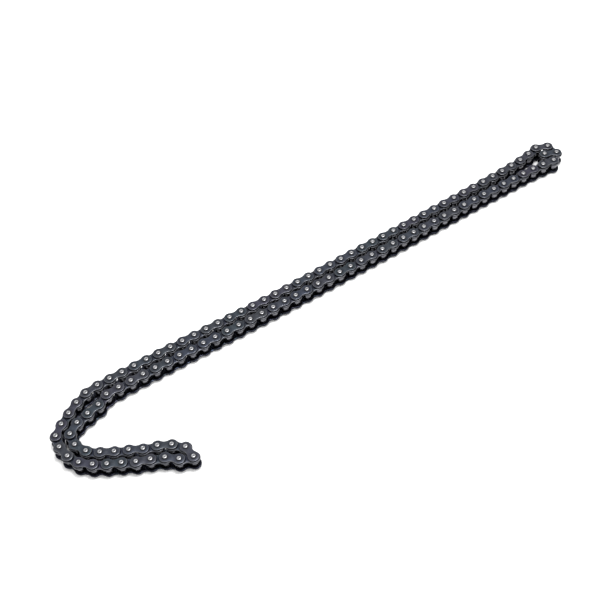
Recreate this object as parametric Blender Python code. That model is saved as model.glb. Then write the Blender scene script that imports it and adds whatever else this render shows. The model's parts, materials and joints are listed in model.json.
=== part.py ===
"""Closed loop of roller chain, lying on its side and folded into a long double strand.

The chain has 116 pins, and the links between them are outer and inner in turn.  Link i joins
pin i to pin i + 1, and it is an outer link when i is even.  The pins are numbered along the loop:

    0 to 41     upper run, from the far fold to the outer bend
    41 to 51    outer bend
    51 to 58    outer leg, down to the turn at the tip
    59 to 66    inner leg
    66 to 72    inner bend
    72 to 113   lower run, back to the far fold
    113 to 0    far fold, a zigzag of four links

The loop is opened at OPEN_PIN, where the outer link has no pin.
Units are metres, +Z is up, and the pins stand upright on their ends at z = 0.
"""

import math

import bmesh
import bpy
from mathutils import Vector

MM = 0.001

# the chain's driving dimensions
PITCH = 12.7 * MM
PIN_COUNT = 116
PIN_RADIUS = 1.99 * MM
PIN_LENGTH = 16.6 * MM
PIN_CHAMFER = 0.25 * MM
ROLLER_RADIUS = 3.96 * MM
INNER_WIDTH = 7.85 * MM
PLATE_THICKNESS = 1.5 * MM
OUTER_END_RADIUS = 5.2 * MM     # round ends of the outer plates
OUTER_WAIST = 3.5 * MM          # half the plate's height between its two ends
INNER_END_RADIUS = 5.98 * MM    # the inner plates are the higher ones
INNER_WAIST = 4.1 * MM
PLATE_END_ARC = math.radians(110)   # how far a waisted plate's round end reaches each way
BUSH_RADIUS = 2.8 * MM
GAP = 0.3 * MM                  # between pieces that touch or turn on each other

# levels above and below the chain's middle plane
MIDDLE = PIN_LENGTH / 2
INNER_PLATE = (INNER_WIDTH / 2, INNER_WIDTH / 2 + PLATE_THICKNESS)
OUTER_PLATE = (INNER_PLATE[1] + GAP, INNER_PLATE[1] + GAP + PLATE_THICKNESS)
SUNK = 0.4 * MM                 # how far a joined roller reaches into its plates

# sides of the round shapes, few on the joined segments and more on the separate pieces
SEGMENT_SIDES = 6
PIN_SIDES = 12
SLEEVE_SIDES = 18
SEGMENT_ARC_STEPS = 3           # on each end of a joined segment's plates
PLATE_ARC_STEPS = 6
SEGMENT_BORE = 2.6 * MM         # bore of a joined segment's bush, around the next segment's pin
BUSH_BORE = 2.27 * MM
ROLLER_BORE = 3.1 * MM

# the two strands' routes from the tip, in millimetres
TIP_PIN = 58                    # last pin of the outer strand, out at the tip
FOLD_PIN = 113                  # last pin of the inner strand, where the far fold starts
OUTER_ROUTE = (
    # outer leg
    (-13.5, -115.5), (-25, -110.5), (-34.5, -102), (-57.5, -91.5), (-68.5, -85), (-90.5, -72),
    # outer bend
    (-99.5, -63.5), (-105, -52), (-107, -39.5), (-105, -27),
    (-95.5, -18.5), (-85, -11.5), (-74, -5),
    # upper run
    (-62.5, 0), (-49.5, 1.5), (-24.5, 1.5), (26.5, 1), (128, -1.5), (229.5, -1),
    # far end
    (331.5, 0), (407.5, 1.5), (433, 2.5), (458, 5.5), (470.5, 8.5), (482, 3.5),
)
INNER_ROUTE = (
    # inner leg
    (-14.5, -103), (-23.5, -93.5), (-34.5, -87.5), (-46.5, -83), (-57, -77), (-79.5, -64.5),
    # inner bend
    (-89, -56.5), (-94.5, -45), (-93.5, -32.5), (-83, -25), (-58.5, -18.5), (-47, -12.5),
    # lower run
    (-34.5, -12), (3.5, -12), (105, -14), (207, -14.5), (308.5, -14), (410, -13.5),
    # far end
    (461, -15), (473.5, -16.5),
)
FOLD_HEADING = math.radians(-84)    # from pin 0 to pin 115, back between the strands
STEPS = 40                          # points on the smooth route between two of its points
FRAME_CENTRE = (188.29, -53.57)     # middle of the lying chain's box in the route's millimetres

# where the chain is split into bodies: name, first pin, links in each segment along the loop
STRETCHES = (
    ("far_fold", 113, (2, 1, 1)),
    ("upper_run", 1, (2,) + (3,) * 10 + (2,) * 4),
    ("outer_bend", 41, (2, 2, 2, 2, 1, 1)),
    ("outer_leg", 51, (2, 2, 2)),
    ("inner_leg", 59, (1, 2, 2, 2)),
    ("inner_bend", 66, (2, 1, 3)),
    ("lower_run", 72, (2,) * 6 + (3,) * 9 + (2,)),
)
OPEN_PIN = 47
NESTED_LINKS = (113, 115)       # their plates lie in each other's waists in the far fold

BLACKENED = ("blackened_steel", (0.045, 0.047, 0.062), 0.42)
PIN_STEEL = ("pin_steel", (0.33, 0.34, 0.35), 0.35)
ROLLER_STEEL = ("roller_steel", (0.16, 0.165, 0.18), 0.3)
SHARP_ANGLE = math.radians(40)


# ---------------------------------------------------------------- layout

def smooth_route(points):
    """A smooth curve through the points, as a fine polyline."""
    through = [Vector(p) for p in points]
    through = [2 * through[0] - through[1], *through, 2 * through[-1] - through[-2]]
    curve = []
    for before, start, end, after in zip(through, through[1:], through[2:], through[3:]):
        slope_in, slope, slope_out = start - before, end - start, after - end
        leave = blended_slope(slope_in, slope) * slope.length
        arrive = blended_slope(slope, slope_out) * slope.length
        for step in range(STEPS):
            t = step / STEPS
            curve.append(
                (2 * t ** 3 - 3 * t ** 2 + 1) * start
                + (t ** 3 - 2 * t ** 2 + t) * leave
                + (3 * t ** 2 - 2 * t ** 3) * end
                + (t ** 3 - t ** 2) * arrive
            )
    return curve + [through[-2]]


def blended_slope(one, other):
    """The direction between two chords: the shorter one counts for more."""
    blend = one / one.length * other.length + other / other.length * one.length
    return blend / (one.length + other.length)


def walk(points, links):
    """Pins one pitch apart along a route, from its first point."""
    curve = smooth_route(points)
    pitch = PITCH / MM
    pins = [curve[0]]
    k = 0
    while len(pins) <= links:
        while k + 2 < len(curve) and (curve[k + 1] - pins[-1]).length < pitch:
            k += 1
        pins.append(pitch_point(pins[-1], curve[k], curve[k + 1], pitch))
    return pins


def pitch_point(pin, start, end, pitch):
    """The point of the line from start to end that is one pitch from the pin."""
    along, offset = end - start, start - pin
    a, b, c = along.dot(along), 2 * along.dot(offset), offset.dot(offset) - pitch ** 2
    t = (-b + math.sqrt(max(b * b - 4 * a * c, 0))) / (2 * a)
    return start + t * along


def closing_pin(one, other, pitch):
    """The pin one pitch from both, on the left of the way from one to the other."""
    half = (other - one) / 2
    rise = math.sqrt(pitch ** 2 - half.length_squared)
    return one + half + Vector((-half.y, half.x)).normalized() * rise


def chain_layout():
    """Every pin's place on the ground, in metres, numbered along the loop."""
    pitch = PITCH / MM
    outer = walk(OUTER_ROUTE, TIP_PIN)
    first_inner = TIP_PIN + 1
    tip_link = (Vector(INNER_ROUTE[0]) - outer[0]).normalized() * pitch
    inner_start = outer[0] + tip_link
    inner = walk((tuple(inner_start), *INNER_ROUTE[1:]), FOLD_PIN - first_inner)
    back = outer[-1] + Vector((math.cos(FOLD_HEADING), math.sin(FOLD_HEADING))) * pitch
    meeting = closing_pin(inner[-1], back, pitch)
    pins = outer[::-1] + inner + [meeting, back]
    return [(p - Vector(FRAME_CENTRE)) * MM for p in pins]


# ---------------------------------------------------------------- outlines and prisms

def circle(radius, sides, centre=(0, 0)):
    """A regular outline whose corners lie on the circle."""
    angles = [math.tau * (k + 0.5) / sides for k in range(sides)]
    return [Vector((centre[0] + radius * math.cos(a), centre[1] + radius * math.sin(a))) for a in angles]


def plate_outline(start, end, radius, steps, half_arc, waist):
    """A link plate's outline: two round ends, and a waist between them or straight sides."""
    heading = math.atan2(end.y - start.y, end.x - start.x)
    side = Vector((-math.sin(heading), math.cos(heading)))
    outline = []
    for centre, facing, way in ((end, heading, side), (start, heading + math.pi, -side)):
        for k in range(steps + 1):
            a = facing - half_arc + 2 * half_arc * k / steps
            outline.append(centre + radius * Vector((math.cos(a), math.sin(a))))
        if waist:
            outline.append((start + end) / 2 + way * waist)
    return outline


def straight_plate(start, end, link):
    radius = OUTER_END_RADIUS if is_outer(link) else INNER_END_RADIUS
    return plate_outline(start, end, radius, SEGMENT_ARC_STEPS, math.pi / 2, None)


def waisted_plate(start, end, link):
    radius, waist = (OUTER_END_RADIUS, OUTER_WAIST) if is_outer(link) else (INNER_END_RADIUS, INNER_WAIST)
    return plate_outline(start, end, radius, PLATE_ARC_STEPS, PLATE_END_ARC, waist)


def add_prism(mesh, outline, low, high):
    """A closed upright prism in a bmesh."""
    floor = [mesh.verts.new((p.x, p.y, low)) for p in outline]
    roof = [mesh.verts.new((p.x, p.y, high)) for p in outline]
    mesh.faces.new(floor[::-1])
    mesh.faces.new(roof)
    for k in range(len(outline)):
        after = (k + 1) % len(outline)
        mesh.faces.new((floor[k], floor[after], roof[after], roof[k]))


def add_turned(mesh, profile, sides):
    """The sides of a solid turned about Z from (radius, height) points; its rings come back."""
    rings = [[mesh.verts.new((p.x, p.y, z)) for p in circle(r, sides)] for r, z in profile]
    for low, high in zip(rings, rings[1:]):
        add_band(mesh, low, high)
    return rings


def add_band(mesh, low, high):
    for k in range(len(low)):
        after = (k + 1) % len(low)
        mesh.faces.new((low[k], low[after], high[after], high[k]))


def mirrored(levels):
    """A pair of levels above the middle plane, and the same pair below it."""
    return (levels, (-levels[1], -levels[0]))


# ---------------------------------------------------------------- objects

def material(spec):
    name, colour, roughness = spec
    made = bpy.data.materials.get(name)
    if made is None:
        made = bpy.data.materials.new(name)
        made.use_nodes = True
        shader = made.node_tree.nodes["Principled BSDF"]
        shader.inputs["Base Color"].default_value = (*colour, 1.0)
        shader.inputs["Roughness"].default_value = roughness
        shader.inputs["Metallic"].default_value = 1.0
    return made


def new_object(name, mesh, place, spec):
    """Turn a bmesh into an object that stands at a place, with its origin there."""
    bmesh.ops.recalc_face_normals(mesh, faces=mesh.faces)
    data = bpy.data.meshes.new(name)
    mesh.to_mesh(data)
    mesh.free()
    data.materials.append(material(spec))
    made = bpy.data.objects.new(name, data)
    made.location = (place.x, place.y, MIDDLE)
    bpy.context.collection.objects.link(made)
    return made


def hide_tool(tool):
    tool.hide_render = True
    tool.display_type = "WIRE"


def boolean(target, tool, operation):
    step = target.modifiers.new(operation.lower(), "BOOLEAN")
    step.solver = "EXACT"
    step.operation = operation
    step.use_self = operation == "UNION"
    step.object = tool


# ---------------------------------------------------------------- joined segments

def is_outer(link):
    return link % 2 == 0


def segment_pins(first, links):
    return [(first + k) % PIN_COUNT for k in range(links + 1)]


def make_segment(name, pins, places, origin):
    """One rigid stretch of links as a single solid, with its bores open at both ends."""
    start = bmesh.new()
    rest = bmesh.new()
    bores = bmesh.new()
    at = [places[p] - origin for p in pins]
    target = start
    for k, link in enumerate(pins[:-1]):
        levels = OUTER_PLATE if is_outer(link) else INNER_PLATE
        plate = waisted_plate if link in NESTED_LINKS else straight_plate
        for low, high in mirrored(levels):
            add_prism(target, plate(at[k], at[k + 1], link), low, high)
            target = rest
    last = len(pins) - 1
    for k, pin in enumerate(pins):
        before = k > 0 and is_outer(pins[k - 1])
        after = k < last and is_outer(pin)
        inner = (k > 0 and not before) or (k < last and not after)
        if inner:
            reach = INNER_PLATE[0] + SUNK
            add_prism(rest, circle(ROLLER_RADIUS, SEGMENT_SIDES, at[k]), -reach, reach)
        if (before or after) and pin != OPEN_PIN:
            reach = MIDDLE if k in (0, last) else OUTER_PLATE[0] + SUNK
            add_prism(rest, circle(PIN_RADIUS, SEGMENT_SIDES, at[k]), -reach, reach)
        if inner and k in (0, last):
            add_prism(bores, circle(SEGMENT_BORE, SEGMENT_SIDES, at[k]), -MIDDLE, MIDDLE)
    made = new_object(name, start, origin, BLACKENED)
    tool = new_object(name + "_rest", rest, origin, BLACKENED)
    hide_tool(tool)
    boolean(made, tool, "UNION")
    if bores.faces:
        cutter = new_object(name + "_bores", bores, origin, BLACKENED)
        hide_tool(cutter)
        boolean(made, cutter, "DIFFERENCE")
    else:
        bores.free()
    return made


# ---------------------------------------------------------------- separate pieces of two links

def make_plate(name, link, ends, levels, hole, origin):
    """A link plate with a hole at each end."""
    blank = bmesh.new()
    start, end = (p - origin for p in ends)
    add_prism(blank, waisted_plate(start, end, link), *levels)
    made = new_object(name, blank, origin, BLACKENED)
    holes = bmesh.new()
    for centre in (start, end):
        add_prism(holes, circle(hole, PIN_SIDES, centre), levels[0] - GAP, levels[1] + GAP)
    cutter = new_object(name + "_holes", holes, origin, BLACKENED)
    hide_tool(cutter)
    boolean(made, cutter, "DIFFERENCE")


def make_pin(name, place):
    """A pin with chamfered ends."""
    mesh = bmesh.new()
    low, high = -MIDDLE, MIDDLE
    tip = PIN_RADIUS - PIN_CHAMFER
    rings = add_turned(mesh, (
        (tip, low), (PIN_RADIUS, low + PIN_CHAMFER), (PIN_RADIUS, high - PIN_CHAMFER), (tip, high),
    ), PIN_SIDES)
    mesh.faces.new(rings[0][::-1])
    mesh.faces.new(rings[-1])
    new_object(name, mesh, place, PIN_STEEL)


def make_sleeve(name, place, radius, bore, reach, spec):
    """A bush or a roller: a ring turned about its pin."""
    mesh = bmesh.new()
    profile = ((bore, -reach), (radius, -reach), (radius, reach), (bore, reach))
    rings = add_turned(mesh, profile, SLEEVE_SIDES)
    add_band(mesh, rings[-1], rings[0])
    new_object(name, mesh, place, spec)


def make_tip_outer_link(places):
    """The outer link at the tip, piece by piece: two plates and two pins."""
    pins = (TIP_PIN, TIP_PIN + 1)
    ends = [places[pin] for pin in pins]
    for side, levels in zip(("top", "bottom"), mirrored(OUTER_PLATE)):
        make_plate(f"tip_outer_plate_{side}", pins[0], ends, levels, PIN_RADIUS + GAP, ends[1])
    for pin, place in zip(pins, ends):
        make_pin(f"tip_pin_{pin}", place)


def make_tip_inner_link(places):
    """The inner link next to it: two plates, two bushes pressed into them and two rollers."""
    pins = (TIP_PIN - 1, TIP_PIN)
    ends = [places[pin] for pin in pins]
    for side, levels in zip(("top", "bottom"), mirrored(INNER_PLATE)):
        make_plate(f"tip_inner_plate_{side}", pins[0], ends, levels, BUSH_RADIUS + GAP, ends[1])
    for pin, place in zip(pins, ends):
        make_sleeve(f"tip_bush_{pin}", place, BUSH_RADIUS, BUSH_BORE, INNER_PLATE[1], ROLLER_STEEL)
        reach = INNER_PLATE[0] - GAP
        make_sleeve(f"tip_roller_{pin}", place, ROLLER_RADIUS, ROLLER_BORE, reach, ROLLER_STEEL)


# ---------------------------------------------------------------- the whole chain

def segments():
    """Every joined segment as (name, its pins, the pin it hinges on).

    The far fold's first segment is the root.  From there the bodies branch both ways along the
    loop, up to OPEN_PIN, so a segment of the upper branch hinges on its first pin.
    """
    found = []
    for stretch, first, lengths in STRETCHES:
        for number, links in enumerate(lengths, 1):
            pins = segment_pins(first, links)
            upper_branch = pins[0] < OPEN_PIN or pins[0] == PIN_COUNT - 1
            hinge = pins[0] if upper_branch else pins[-1]
            found.append((f"{stretch}_{number}", pins, hinge))
            first = pins[-1]
    return found


def shade_round(made):
    """Smooth the round sides and keep the plates' edges sharp."""
    made.data.shade_smooth()
    made.data.set_sharp_from_angle(angle=SHARP_ANGLE)


def main():
    for old in list(bpy.data.objects):
        bpy.data.objects.remove(old, do_unlink=True)
    places = chain_layout()
    for name, pins, hinge in segments():
        make_segment(name, pins, places, places[hinge])
    make_tip_inner_link(places)
    make_tip_outer_link(places)
    for made in bpy.data.objects:
        shade_round(made)


main()
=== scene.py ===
"""Looks of the roller chain loop: every link in full detail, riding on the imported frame's bodies.

The frame's hinges are named after the pins that they turn on, from pivot_000 to pivot_115.  The
pins are numbered along the loop, and link i joins pin i to pin i + 1.  Outer and inner links take
turns, and the even ones are outer.  The loop is opened at OPEN_PIN, where the outer link's two rivet
heads stay but no pin joins them, so that the two ends can part.  Every mesh is made about the
chain's middle plane, and the links of a kind share one.
"""
import json
import math

import bmesh
import bpy
from mathutils import Matrix, Vector

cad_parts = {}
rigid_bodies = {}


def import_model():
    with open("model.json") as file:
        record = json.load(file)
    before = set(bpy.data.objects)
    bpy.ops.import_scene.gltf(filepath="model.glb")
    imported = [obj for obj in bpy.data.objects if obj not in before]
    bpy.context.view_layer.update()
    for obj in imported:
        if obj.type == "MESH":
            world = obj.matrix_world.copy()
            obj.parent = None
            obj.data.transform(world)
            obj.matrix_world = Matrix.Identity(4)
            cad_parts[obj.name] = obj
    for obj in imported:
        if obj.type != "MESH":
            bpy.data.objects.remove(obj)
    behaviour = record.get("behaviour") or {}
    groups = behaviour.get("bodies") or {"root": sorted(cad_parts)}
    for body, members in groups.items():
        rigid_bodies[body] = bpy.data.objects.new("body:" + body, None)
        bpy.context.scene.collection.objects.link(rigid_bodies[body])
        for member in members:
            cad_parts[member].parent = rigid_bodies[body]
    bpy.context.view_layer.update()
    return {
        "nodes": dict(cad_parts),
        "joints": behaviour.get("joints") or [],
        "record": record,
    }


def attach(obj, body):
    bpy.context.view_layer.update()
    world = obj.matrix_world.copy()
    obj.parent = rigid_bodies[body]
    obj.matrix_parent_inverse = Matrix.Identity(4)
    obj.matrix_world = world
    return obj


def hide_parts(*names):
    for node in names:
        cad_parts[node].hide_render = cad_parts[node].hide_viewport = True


MM = 0.001

# the chain's sizes, as in the frame; heights are above and below its middle plane
PITCH = 12.7 * MM
PIN_COUNT = 116
PIN_RADIUS = 1.99 * MM
ROLLER_RADIUS = 3.96 * MM
OUTER_SHAPE = (5.2 * MM, 3.5 * MM)      # radius of a plate's ends, and half its height at the waist
INNER_SHAPE = (5.98 * MM, 4.1 * MM)
BUSH_RADIUS = 2.8 * MM
PIN_REACH = 8.3 * MM
INNER_PLATE = (3.925 * MM, 5.425 * MM)          # its inner and its outer face
OUTER_PLATE = (5.725 * MM, 7.225 * MM)
ROLLER_REACH = 3.8 * MM

# small shapes that the frame's plain solids leave out
EDGE_ROLL = 0.36 * MM           # rounding of a plate's rim on its outer face
EDGE_BREAK = 0.12 * MM          # chamfer of its other rim
COUNTERSINK = 0.22 * MM
BUSH_BORE = 2.1 * MM
BUSH_PROUD = 0.06 * MM          # how far a bush stands out of its plates
BUSH_LIP = 0.15 * MM
ROLLER_BORE = 2.9 * MM
ROLLER_EDGE = 0.45 * MM
PIN_PLAY = 0.05 * MM            # between a pin and its hole

# how finely round shapes are made
END_STEPS = 22
WAIST_STEPS = 7
EDGE_STEPS = 3
HOLE_SIDES = 28
PIN_SIDES = 28
ROLLER_SIDES = 40

# where oil, grime and wear lie, with the painted shade and painted highlight laid with them
GRIME_AND_SHADE_REACH = 0.4 * MM          # oil and painted shade reach this far round a pin's hole
STAKE_RADIUS = 0.9 * MM         # oil and painted shade fill a pin's stake mark
HEAD_ROOT = 0.2 * MM            # and climb a pin's head this far above the plate
INNER_OIL_AND_SHADE = 0.9                 # how dark the oil and painted shade are on the inner plates, along the outer ones
OIL_AND_SHADE_RING = (5.8 * MM, 6.9 * MM)         # where that oil stain and painted shade fade out, from the pin
END_TINT = (1.3 * MM, 4.8 * MM)         # where a plate's ends fade into its waist, from the pin
RIM_WEAR_AND_HIGHLIGHT = (0.05, 0.55, 0.7, 0.1)       # how bare each ring of a plate's rolled rim is rubbed, and how bright a painted highlight lies along it

# how the frame is read
OPEN_PIN = 47
ROOT_LINK = 113                 # a link of the body that every other one hangs from
SAME_POINT = 0.01 * MM          # vertices this close are one
SAME_PIN = 1.0 * MM             # and so are a pin and a roller
PITCH_ERROR = 0.1 * MM          # how far from a pitch two neighbouring pins may be


# ---------------------------------------------------------------- what the frame says

def pivots_of(joints):
    """The joints that turn a link on a pin, by the pin's number."""
    return {int(j["name"][-3:]): j for j in joints if j["name"].startswith("pivot_")}


def ring_centres(mesh, height):
    """Where a node's rollers and pins stand: the middles of the rings that a level cut makes."""
    cut = bmesh.new()
    cut.from_mesh(mesh)
    bmesh.ops.remove_doubles(cut, verts=cut.verts, dist=SAME_POINT)
    everything = cut.verts[:] + cut.edges[:] + cut.faces[:]
    bmesh.ops.bisect_plane(
        cut, geom=everything, plane_co=(0, 0, height), plane_no=(0, 0, 1),
        clear_inner=True, clear_outer=True,
    )
    centres = []
    loose = set(cut.verts)
    while loose:
        outline = connected(loose.pop())
        loose -= outline
        low = Vector([min(v.co[k] for v in outline) for k in range(3)])
        high = Vector([max(v.co[k] for v in outline) for k in range(3)])
        centres.append((low + high) / 2)
    cut.free()
    return centres


def connected(vertex):
    """Every vertex that edges join to this one."""
    found = {vertex}
    unvisited = [vertex]
    while unvisited:
        for edge in unvisited.pop().link_edges:
            for other in edge.verts:
                if other not in found:
                    found.add(other)
                    unvisited.append(other)
    return found


def pin_places(nodes, pivots):
    """Every pin's place in order along the loop, from the rollers and pins of the frame's nodes."""
    first, second = (Vector(pivots[pin]["pos_m"]) for pin in (0, 1))
    waiting = []
    for node in nodes.values():
        for centre in ring_centres(node.data, first.z):
            if all((centre - other).length > SAME_PIN for other in [first, second, *waiting]):
                waiting.append(centre)
    order = [first, second]
    while waiting:
        ahead = order[-1] - order[-2]
        near = [p for p in waiting if abs((p - order[-1]).length - PITCH) < PITCH_ERROR]
        following = max(near, key=lambda p: (p - order[-1]).dot(ahead))
        waiting.remove(following)
        order.append(following)
    return order


def link_bodies(pivots):
    """The body of every link, found by walking both ways round the loop from the root.

    A step is a link whose body is known, the link next to it, and the pin between the two.
    """
    parents = {joint["parent"] for joint in pivots.values()}
    children = {joint["child"] for joint in pivots.values()}
    bodies = {ROOT_LINK: (parents - children).pop()}
    steps_up = [(link - 1, link, link) for link in range(ROOT_LINK + 1, PIN_COUNT + OPEN_PIN)]
    steps_down = [(link + 1, link, link + 1) for link in range(ROOT_LINK - 1, OPEN_PIN - 1, -1)]
    for known, link, pin in steps_up + steps_down:
        body = bodies[known % PIN_COUNT]
        joint = pivots.get(pin % PIN_COUNT)
        if joint:
            body = joint["child"] if body == joint["parent"] else joint["parent"]
        bodies[link % PIN_COUNT] = body
    return bodies


# ---------------------------------------------------------------- mesh tools

def ring(mesh, points, height):
    """New vertices at these points, all at one height."""
    return [mesh.verts.new((p[0], p[1], height)) for p in points]


def circle(radius, sides, centre):
    angles = [math.tau * k / sides for k in range(sides)]
    return [(centre[0] + radius * math.cos(a), centre[1] + radius * math.sin(a)) for a in angles]


def band(mesh, low, high):
    """Quads between two rings of the same count."""
    for k in range(len(low)):
        after = (k + 1) % len(low)
        mesh.faces.new((low[k], low[after], high[after], high[k]))


def edges_of(mesh, loop):
    """The edges round a closed ring of vertices."""
    return [mesh.edges.get((loop[k - 1], loop[k])) for k in range(len(loop))]


def turned(mesh, profile, sides, centre):
    """Bands through the rings of (radius, height) points round an upright axis."""
    rings = [ring(mesh, circle(radius, sides, centre), height) for radius, height in profile]
    for low, high in zip(rings, rings[1:]):
        band(mesh, low, high)
    return rings


def finish_mesh(name, mesh, sharp=50):
    """A shaded mesh from a bmesh, with its normals outwards."""
    bmesh.ops.recalc_face_normals(mesh, faces=mesh.faces)
    data = bpy.data.meshes.new(name)
    mesh.to_mesh(data)
    mesh.free()
    data.shade_smooth()
    data.set_sharp_from_angle(angle=math.radians(sharp))
    return data


# ---------------------------------------------------------------- link plates

def figure_eight(shape, inset):
    """A plate's outline round two ends and a hollow waist, drawn inwards by an inset."""
    end_radius, waist = shape
    half = PITCH / 2
    hollow = (half ** 2 + waist ** 2 - end_radius ** 2) / 2 / (end_radius - waist)
    rise = waist + hollow
    turn = math.pi - math.atan2(rise, half)
    lean = math.pi / 2 - math.atan2(rise, half)
    points = []
    for end in (1, -1):
        facing = 0 if end > 0 else math.pi
        for k in range(END_STEPS + 1):
            a = facing - turn + 2 * turn * k / END_STEPS
            reach = end_radius - inset
            points.append((half + end * half + reach * math.cos(a), reach * math.sin(a)))
        for k in range(1, WAIST_STEPS):
            a = -end * math.pi / 2 + lean * (1 - 2 * k / WAIST_STEPS)
            reach = hollow + inset
            points.append((half + reach * math.cos(a), end * rise + reach * math.sin(a)))
    return points


def rim_profile(levels):
    """A plate's rim, rolled at its outer face, as the outline's inset and height at each ring."""
    inner, outer = levels
    up = 1 if outer > inner else -1
    rims = [(EDGE_BREAK, inner), (0, inner + up * EDGE_BREAK)]
    for k in range(EDGE_STEPS + 1):
        a = math.pi / 2 * k / EDGE_STEPS
        inset = EDGE_ROLL * (1 - math.cos(a))
        rims.append((inset, outer - up * EDGE_ROLL * (1 - math.sin(a))))
    return rims


def hole_profile(levels, hole):
    """A plate's countersunk hole, out to the end of its oil stain and painted shade: radius and
    height.
    """
    inner, outer = levels
    up = 1 if outer > inner else -1
    eye = hole + COUNTERSINK
    return (
        (eye, inner),
        (hole, inner + up * COUNTERSINK),
        (hole, outer - up * COUNTERSINK),
        (eye, outer),
        (eye + GRIME_AND_SHADE_REACH, outer),
    )


def mark(verts, layer, amount):
    """Write how much wear and painted highlight, grime and painted shade, or oil and painted shade
    there is on each of these vertices.
    """
    for vertex in verts:
        vertex[layer] = amount


def plate(mesh, shape, levels, hole, layers):
    """One link plate.  levels are the heights of its inner and its outer face."""
    wear_and_highlight, grime_and_shade = layers
    rims = rim_profile(levels)
    outline = [ring(mesh, figure_eight(shape, inset), height) for inset, height in rims]
    for low, high in zip(outline, outline[1:]):
        band(mesh, low, high)
    # the rolled rim's bare wear, which also stands in for a painted highlight along it
    rolled = outline[-len(RIM_WEAR_AND_HIGHLIGHT):]
    for loop, worn_and_lit in zip(rolled, RIM_WEAR_AND_HIGHLIGHT):
        mark(loop, wear_and_highlight, worn_and_lit)
    near = edges_of(mesh, outline[0])
    far = edges_of(mesh, outline[-1])
    for centre in ((0, 0), (PITCH, 0)):
        rings = turned(mesh, hole_profile(levels, hole), HOLE_SIDES, centre)
        # oil and painted shade in and round the countersunk hole
        for loop in rings[:-1]:
            mark(loop, grime_and_shade, 1.0)
        near += edges_of(mesh, rings[0])
        far += edges_of(mesh, rings[-1])
    for edges in (near, far):
        bmesh.ops.triangle_fill(mesh, edges=edges, use_beauty=True, use_dissolve=False)


def plate_pair(name, shape, levels, hole):
    """The upper and the lower plate of a link, its first pin at the origin and its next on +X."""
    mesh = bmesh.new()
    layers = [mesh.verts.layers.float.new(layer) for layer in ("wear_and_highlight", "grime_and_shade")]
    plate(mesh, shape, levels, hole, layers)
    plate(mesh, shape, [-z for z in levels], hole, layers)
    # oil on the inner plates, with painted shade where the outer plates overlap them
    oil_and_shade = mesh.verts.layers.float.new("oil_and_shade")
    mark(mesh.verts, oil_and_shade, INNER_OIL_AND_SHADE if levels == INNER_PLATE else 0.0)
    return finish_mesh(name, mesh)


# ---------------------------------------------------------------- pins, bushes and rollers

def head_profile():
    """A riveted pin end from the plate up to the stake mark in its middle: radius and height."""
    top = PIN_REACH
    return [
        (PIN_RADIUS, OUTER_PLATE[1] - 0.05 * MM),
        (PIN_RADIUS + 0.1 * MM, OUTER_PLATE[1] + 0.12 * MM),
        (PIN_RADIUS + 0.16 * MM, top - 0.6 * MM),
        (PIN_RADIUS + 0.06 * MM, top - 0.36 * MM),
        (PIN_RADIUS - 0.2 * MM, top - 0.16 * MM),
        (PIN_RADIUS - 0.6 * MM, top - 0.04 * MM),
        (1.1 * MM, top),
        (0.95 * MM, top - 0.03 * MM),
        (0.8 * MM, top - 0.12 * MM),
        (0.58 * MM, top - 0.42 * MM),
        (0.22 * MM, top - 0.52 * MM),
    ]


def add_pin(mesh, grime_and_shade, centre, joined):
    """A pin riveted at both ends, or only its two heads where the loop is opened."""
    head = head_profile()
    foot = [(radius, -height) for radius, height in reversed(head)]
    lower_stub = (PIN_RADIUS, -OUTER_PLATE[0])
    upper_stub = (PIN_RADIUS, OUTER_PLATE[0])
    stretches = [foot + head] if joined else [foot + [lower_stub], [upper_stub] + head]
    for profile in stretches:
        rings = turned(mesh, profile, PIN_SIDES, centre)
        mesh.faces.new(rings[0])
        mesh.faces.new(rings[-1])
        # oil and painted shade in the stake mark and round the head's root
        for loop, (radius, height) in zip(rings, profile):
            oily_and_shaded = radius < STAKE_RADIUS or abs(height) < OUTER_PLATE[1] + HEAD_ROOT
            mark(loop, grime_and_shade, float(oily_and_shaded))


def pin_pair(name, last_joined):
    """The two pins of an outer link, of which the second may be only its heads."""
    mesh = bmesh.new()
    grime_and_shade = mesh.verts.layers.float.new("grime_and_shade")
    add_pin(mesh, grime_and_shade, (0, 0), True)
    add_pin(mesh, grime_and_shade, (PITCH, 0), last_joined)
    return finish_mesh(name, mesh)


def bush_pair(name):
    """The two bushes of an inner link."""
    mesh = bmesh.new()
    reach = INNER_PLATE[1] + BUSH_PROUD
    edge = reach - BUSH_LIP
    profile = (
        (BUSH_BORE, -edge),
        (BUSH_BORE + BUSH_LIP, -reach),
        (BUSH_RADIUS - BUSH_LIP, -reach),
        (BUSH_RADIUS, -edge),
        (BUSH_RADIUS, edge),
        (BUSH_RADIUS - BUSH_LIP, reach),
        (BUSH_BORE + BUSH_LIP, reach),
        (BUSH_BORE, edge),
    )
    for x in (0, PITCH):
        rings = turned(mesh, profile, HOLE_SIDES, (x, 0))
        band(mesh, rings[-1], rings[0])
    return finish_mesh(name, mesh, sharp=30)


def roller_set(name, places, origin):
    """Rollers at these places, as one mesh about an origin."""
    mesh = bmesh.new()
    side = [(ROLLER_RADIUS, 0)]
    for k in range(EDGE_STEPS + 1):
        a = math.pi / 2 * k / EDGE_STEPS
        radius = ROLLER_RADIUS - ROLLER_EDGE * (1 - math.cos(a))
        side.append((radius, ROLLER_REACH - ROLLER_EDGE * (1 - math.sin(a))))
    side.append((ROLLER_BORE, ROLLER_REACH))
    lower = [(radius, -height) for radius, height in reversed(side[1:])]
    for place in places:
        centre = place - origin
        rings = turned(mesh, lower + side, ROLLER_SIDES, (centre.x, centre.y))
        band(mesh, rings[-1], rings[0])
    return finish_mesh(name, mesh)


# ---------------------------------------------------------------- materials

COLOUR_MIX_SOCKETS = (0, 6, 7)          # a Mix node's factor and its two colours
COLOUR_MIX_RESULT = 2


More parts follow.
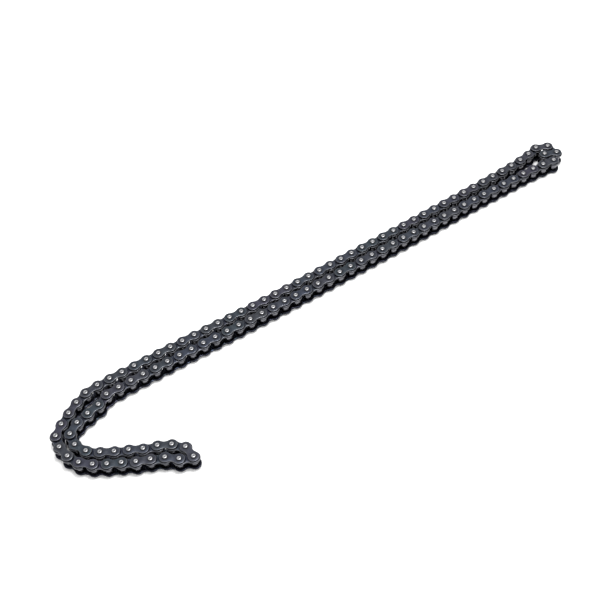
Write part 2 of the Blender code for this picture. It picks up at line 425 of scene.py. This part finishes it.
class Nodes:
    """A material's node tree, with short calls for the nodes that this script uses."""

    def __init__(self, name):
        self.material = bpy.data.materials.new(name)
        self.material.use_nodes = True
        self.tree = self.material.node_tree
        self.shader = self.tree.nodes["Principled BSDF"]

    def add(self, kind, inputs=(), **settings):
        """A new node.  inputs are (socket, value or another node's output)."""
        node = self.tree.nodes.new(kind)
        for key, value in settings.items():
            setattr(node, key, value)
        for socket, value in inputs:
            self.set(node, socket, value)
        return node

    def set(self, node, socket, value):
        """Give a socket a value, or link another node's output to it."""
        if isinstance(value, bpy.types.NodeSocket):
            self.tree.links.new(value, node.inputs[socket])
        else:
            node.inputs[socket].default_value = value

    def object_coordinates(self, stretch=(1, 1, 1)):
        """Coordinates that ride on the piece, shifted by a different amount on each piece."""
        place = self.add("ShaderNodeTexCoord").outputs["Object"]
        chance = self.add("ShaderNodeObjectInfo").outputs["Random"]
        shifted = self.add("ShaderNodeVectorMath", ((0, place), (1, chance)), operation="ADD")
        return self.add("ShaderNodeMapping", (
            ("Vector", shifted.outputs[0]), ("Scale", stretch),
        )).outputs[0]

    def noise(self, where, scale, detail=3.0, roughness=0.55):
        return self.add("ShaderNodeTexNoise", (
            ("Vector", where), ("Scale", scale), ("Detail", detail), ("Roughness", roughness),
        )).outputs[0]

    def ramp(self, factor, stops):
        """A colour that runs through (position, colour) stops as the factor grows."""
        node = self.add("ShaderNodeValToRGB", (("Fac", factor),))
        while len(node.color_ramp.elements) < len(stops):
            node.color_ramp.elements.new(0.5)
        for element, (position, colour) in zip(node.color_ramp.elements, stops):
            element.position = position
            element.color = (*colour, 1.0)
        return node.outputs[0]

    def cover(self, colour, coats):
        """A colour under coats of (how much of it shows, tint), the last on top."""
        for factor, tint in coats:
            colour = self.blend(factor, colour, (*tint, 1.0))
        return colour

    def blend(self, factor, one, other):
        """One colour where the factor is 0, the other where it is 1."""
        node = self.add("ShaderNodeMix", data_type="RGBA", blend_type="MIX")
        for socket, value in zip(COLOUR_MIX_SOCKETS, (factor, one, other)):
            self.set(node, socket, value)
        return node.outputs[COLOUR_MIX_RESULT]

    def spread(self, value, low, high):
        """A value from 0 to 1 spread from low to high."""
        return self.add("ShaderNodeMapRange", (
            ("Value", value), ("To Min", low), ("To Max", high),
        )).outputs[0]

    def calculate(self, operation, one, other=0.0):
        """The result of a Math node.  ABSOLUTE and its like need only the one value."""
        return self.add("ShaderNodeMath", ((0, one), (1, other)), operation=operation).outputs[0]

    def close_to_pins(self, near, far):
        """1 nearer than near to one of a link's two pins, 0 further away than far from both."""
        place = self.add("ShaderNodeTexCoord").outputs["Object"]
        length, width, _ = self.add("ShaderNodeSeparateXYZ", ((0, place),)).outputs
        from_middle = self.calculate("ABSOLUTE", self.calculate("SUBTRACT", length, PITCH / 2))
        beside = self.calculate("SUBTRACT", from_middle, PITCH / 2)
        flat = self.add("ShaderNodeCombineXYZ", ((0, beside), (1, width))).outputs[0]
        away = self.add("ShaderNodeVectorMath", ((0, flat),), operation="LENGTH").outputs["Value"]
        return self.add("ShaderNodeMapRange", (
            ("Value", away), ("From Min", near), ("From Max", far), ("To Min", 1.0), ("To Max", 0.0),
        )).outputs[0]

    def upright(self):
        """1 on the upright walls of a piece, 0 on its flat faces; used to paint shade on the walls.
        """
        normal = self.add("ShaderNodeTexCoord").outputs["Normal"]
        rise = self.add("ShaderNodeSeparateXYZ", ((0, normal),)).outputs[2]
        return self.calculate("SUBTRACT", 1.0, self.calculate("MULTIPLY", rise, rise))

    def attribute(self, name):
        """What mark() wrote on the piece's vertices."""
        return self.add("ShaderNodeAttribute", attribute_name=name).outputs["Fac"]

    def bump(self, height, distance, strength):
        return self.add("ShaderNodeBump", (
            ("Height", height), ("Distance", distance), ("Strength", strength),
        )).outputs[0]


def blackened_steel():
    """Black-oxide plate: charcoal with blue, violet and green temper tints from link to link."""
    n = Nodes("blackened_steel")
    chance = n.add("ShaderNodeObjectInfo").outputs["Random"]
    ends = n.ramp(chance, (
        (0.0, (0.042, 0.044, 0.05)),
        (0.2, (0.038, 0.041, 0.051)),
        (0.4, (0.049, 0.047, 0.049)),
        (0.55, (0.041, 0.04, 0.051)),
        (0.7, (0.042, 0.046, 0.047)),
        (0.85, (0.035, 0.04, 0.049)),
        (1.0, (0.047, 0.046, 0.051)),
    ))
    waist = n.ramp(chance, (
        (0.0, (0.034, 0.043, 0.068)),
        (0.25, (0.044, 0.048, 0.06)),
        (0.5, (0.044, 0.042, 0.066)),
        (0.75, (0.031, 0.045, 0.057)),
        (1.0, (0.043, 0.045, 0.053)),
    ))
    where = n.object_coordinates()
    clouds = n.noise(where, 170.0, detail=4.0)
    along_link = n.object_coordinates(stretch=(0.4, 1.6, 1.0))
    scratches = n.noise(along_link, 800.0, detail=6.0, roughness=0.7)
    scuffed = n.ramp(scratches, ((0.58, (0, 0, 0)), (0.75, (0.35, 0.35, 0.35))))
    oiled_and_shaded = n.calculate("MULTIPLY", n.attribute("oil_and_shade"), n.close_to_pins(*OIL_AND_SHADE_RING))
    worn_and_lit = n.calculate("MULTIPLY", n.attribute("wear_and_highlight"), n.noise(where, 380.0, detail=1.0))
    colour = n.cover(n.blend(n.close_to_pins(*END_TINT), waist, ends), (
        (n.spread(clouds, -0.6, 1.15), (0.02, 0.022, 0.032)),
        (scuffed, (0.2, 0.205, 0.215)),
        # oil on the inner plates, with painted shade beside the outer plates' edges
        (oiled_and_shaded, (0.01, 0.011, 0.018)),
        # painted shade on the plate's upright walls
        (n.upright(), (0.014, 0.015, 0.022)),
        # bare worn rims, also a painted highlight along the plate's edge
        (worn_and_lit, (0.38, 0.385, 0.4)),
        # oil and painted shade round the pin holes
        (n.attribute("grime_and_shade"), (0.014, 0.014, 0.018)),
    ))
    n.set(n.shader, "Base Color", colour)
    n.set(n.shader, "Metallic", 1.0)
    n.set(n.shader, "Roughness", n.spread(n.noise(where, 420.0, detail=5.0), 0.2, 0.44))
    n.set(n.shader, "Normal", n.bump(n.noise(where, 2600.0), 0.04 * MM, 0.5))
    return n.material


def pin_steel():
    """Bare steel of the riveted pin ends, turned and a little oily, with painted shade in the stake
    mark, at the head's root and on its upright sides.
    """
    n = Nodes("pin_steel")
    where = n.object_coordinates()
    marks = n.noise(where, 1500.0, detail=4.0)
    bare = n.ramp(marks, ((0.3, (0.19, 0.193, 0.2)), (0.7, (0.48, 0.48, 0.49))))
    colour = n.cover(bare, (
        # painted shade on the pin head's upright sides
        (n.upright(), (0.03, 0.03, 0.034)),
        # oil and painted shade in the stake mark and round the head's root
        (n.attribute("grime_and_shade"), (0.15, 0.15, 0.16)),
    ))
    n.set(n.shader, "Base Color", colour)
    n.set(n.shader, "Metallic", 1.0)
    n.set(n.shader, "Roughness", n.spread(marks, 0.22, 0.46))
    n.set(n.shader, "Normal", n.bump(n.noise(where, 3500.0), 0.03 * MM, 0.5))
    return n.material


def roller_steel():
    """Ground steel of rollers and bushes, with fine marks that run round them."""
    n = Nodes("roller_steel")
    patches = n.noise(n.object_coordinates(), 260.0, detail=4.0)
    colour = n.ramp(patches, ((0.3, (0.085, 0.085, 0.095)), (0.7, (0.19, 0.19, 0.205))))
    marks = n.noise(n.object_coordinates(stretch=(0.06, 0.06, 1.0)), 5200.0)
    n.set(n.shader, "Base Color", colour)
    n.set(n.shader, "Metallic", 1.0)
    n.set(n.shader, "Roughness", 0.22)
    n.set(n.shader, "Normal", n.bump(marks, 0.02 * MM, 0.4))
    return n.material


# ---------------------------------------------------------------- pieces on the bodies

def place_piece(name, mesh, look, matrix, body, nodes):
    """A piece of one mesh, stood at a place, riding on a body and standing for its nodes."""
    material, slot = look
    piece = bpy.data.objects.new(name, mesh)
    bpy.context.scene.collection.objects.link(piece)
    piece.matrix_world = matrix
    if not mesh.materials:
        mesh.materials.append(material)
    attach(piece, body)
    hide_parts(*nodes)


def along(start, end):
    """The matrix that puts the origin on start and turns +X towards end."""
    heading = math.atan2(end.y - start.y, end.x - start.x)
    return Matrix.Translation(start) @ Matrix.Rotation(heading, 4, "Z")


def nodes_replaced(nodes, body, part):
    """The body's nodes that a piece stands for: all of them, but only its own part's at the tip."""
    return [node for node in nodes if part in node or not body.startswith("tip_")]


def build_chain(frame):
    """Every link's plates with its pins or bushes, and every body's rollers."""
    pivots = pivots_of(frame["joints"])
    places = pin_places(frame["nodes"], pivots)
    bodies = link_bodies(pivots)
    members = frame["record"]["behaviour"]["bodies"]
    plate_look = (blackened_steel(), "blackened_steel")
    pin_look = (pin_steel(), "pin_steel")
    roller_look = (roller_steel(), "roller_steel")
    outer_plates = plate_pair("outer_plates", OUTER_SHAPE, OUTER_PLATE, PIN_RADIUS + PIN_PLAY)
    inner_plates = plate_pair("inner_plates", INNER_SHAPE, INNER_PLATE, BUSH_RADIUS)
    pin_meshes = {True: pin_pair("pins", True), False: pin_pair("open_pins", False)}
    bushes = bush_pair("bushes")
    for link in range(PIN_COUNT):
        if link % 2 == 0:
            joined = link + 1 != OPEN_PIN
            pieces = (
                ("outer_plates", outer_plates, plate_look, "plate"),
                ("pins", pin_meshes[joined], pin_look, "pin_"),
            )
        else:
            pieces = (
                ("inner_plates", inner_plates, plate_look, "plate"),
                ("bushes", bushes, roller_look, "bush"),
            )
        spot = along(places[link], places[(link + 1) % PIN_COUNT])
        body = bodies[link]
        for kind, mesh, look, part in pieces:
            nodes = nodes_replaced(members[body], body, part)
            place_piece(f"{kind}_{link:03d}", mesh, look, spot, body, nodes)
    add_rollers(places, bodies, members, roller_look)


def add_rollers(places, bodies, members, look):
    """The rollers of each body's inner links as one piece, and each roller that spins as its own."""
    carried = {}
    for link in range(1, PIN_COUNT, 2):
        for pin in (link, (link + 1) % PIN_COUNT):
            spinning = f"tip_roller_{pin}"
            body = spinning if spinning in members else bodies[link]
            carried.setdefault(body, []).append(places[pin])
    for body, stood in carried.items():
        origin = stood[0]
        mesh = roller_set(f"rollers_{body}", stood, origin)
        place_piece(f"rollers_{body}", mesh, look, Matrix.Translation(origin), body, members[body])


# ---------------------------------------------------------------- floor, light and camera

FLOOR_SIZE = 12.0
SKY_STRENGTH = 1.2
CAMERA_PLACE = (-0.36747, -0.59261, 0.88142)
CAMERA_AZIMUTH = -28.25         # 0 looks along +Y, and 90 along -X
CAMERA_ELEVATION = 50.70        # above the horizon
CAMERA_ROLL = -5.54
CAMERA_LENS = 70.14             # on the usual 36 mm sensor


def add_floor():
    """A plain white floor, which isn't part of the chain."""
    bpy.ops.mesh.primitive_plane_add(size=FLOOR_SIZE, location=(0, 0, 0))
    floor = bpy.context.object
    floor.name = "floor"
    n = Nodes("white_floor")
    n.set(n.shader, "Base Color", (0.9, 0.9, 0.9, 1.0))
    n.set(n.shader, "Roughness", 0.9)
    n.set(n.shader, "Specular IOR Level", 0.1)
    floor.data.materials.append(n.material)


def add_light(name, place, size, power):
    """A square soft light that faces the middle of the chain."""
    data = bpy.data.lights.new(name, "AREA")
    data.size = size
    data.energy = power
    light = bpy.data.objects.new(name, data)
    bpy.context.scene.collection.objects.link(light)
    light.location = place
    light.rotation_euler = (-Vector(place)).to_track_quat("-Z", "Y").to_euler()


def add_lights():
    """A bright even studio, with a light overhead for the rims and a weak one in front."""
    world = bpy.data.worlds.new("studio")
    bpy.context.scene.world = world
    world.use_nodes = True
    background = world.node_tree.nodes["Background"]
    background.inputs["Color"].default_value = (1.0, 1.0, 1.0, 1.0)
    background.inputs["Strength"].default_value = SKY_STRENGTH
    add_light("key", place=(0.15, -0.05, 2.2), size=0.5, power=36.0)
    add_light("front", place=(0.6, -1.4, 0.7), size=0.9, power=6.0)


def add_camera():
    data = bpy.data.cameras.new("camera")
    data.lens = CAMERA_LENS
    data.sensor_width = 36.0
    data.clip_start = 0.01
    camera = bpy.data.objects.new("camera", data)
    bpy.context.scene.collection.objects.link(camera)
    turn = (
        Matrix.Rotation(math.radians(CAMERA_AZIMUTH), 4, "Z")
        @ Matrix.Rotation(math.radians(90 - CAMERA_ELEVATION), 4, "X")
        @ Matrix.Rotation(math.radians(CAMERA_ROLL), 4, "Z")
    )
    camera.matrix_world = Matrix.Translation(CAMERA_PLACE) @ turn
    bpy.context.scene.camera = camera


# ---------------------------------------------------------------- the scene

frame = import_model()
add_camera()
build_chain(frame)
add_floor()
add_lights()
bpy.context.scene.view_settings.view_transform = "Standard"
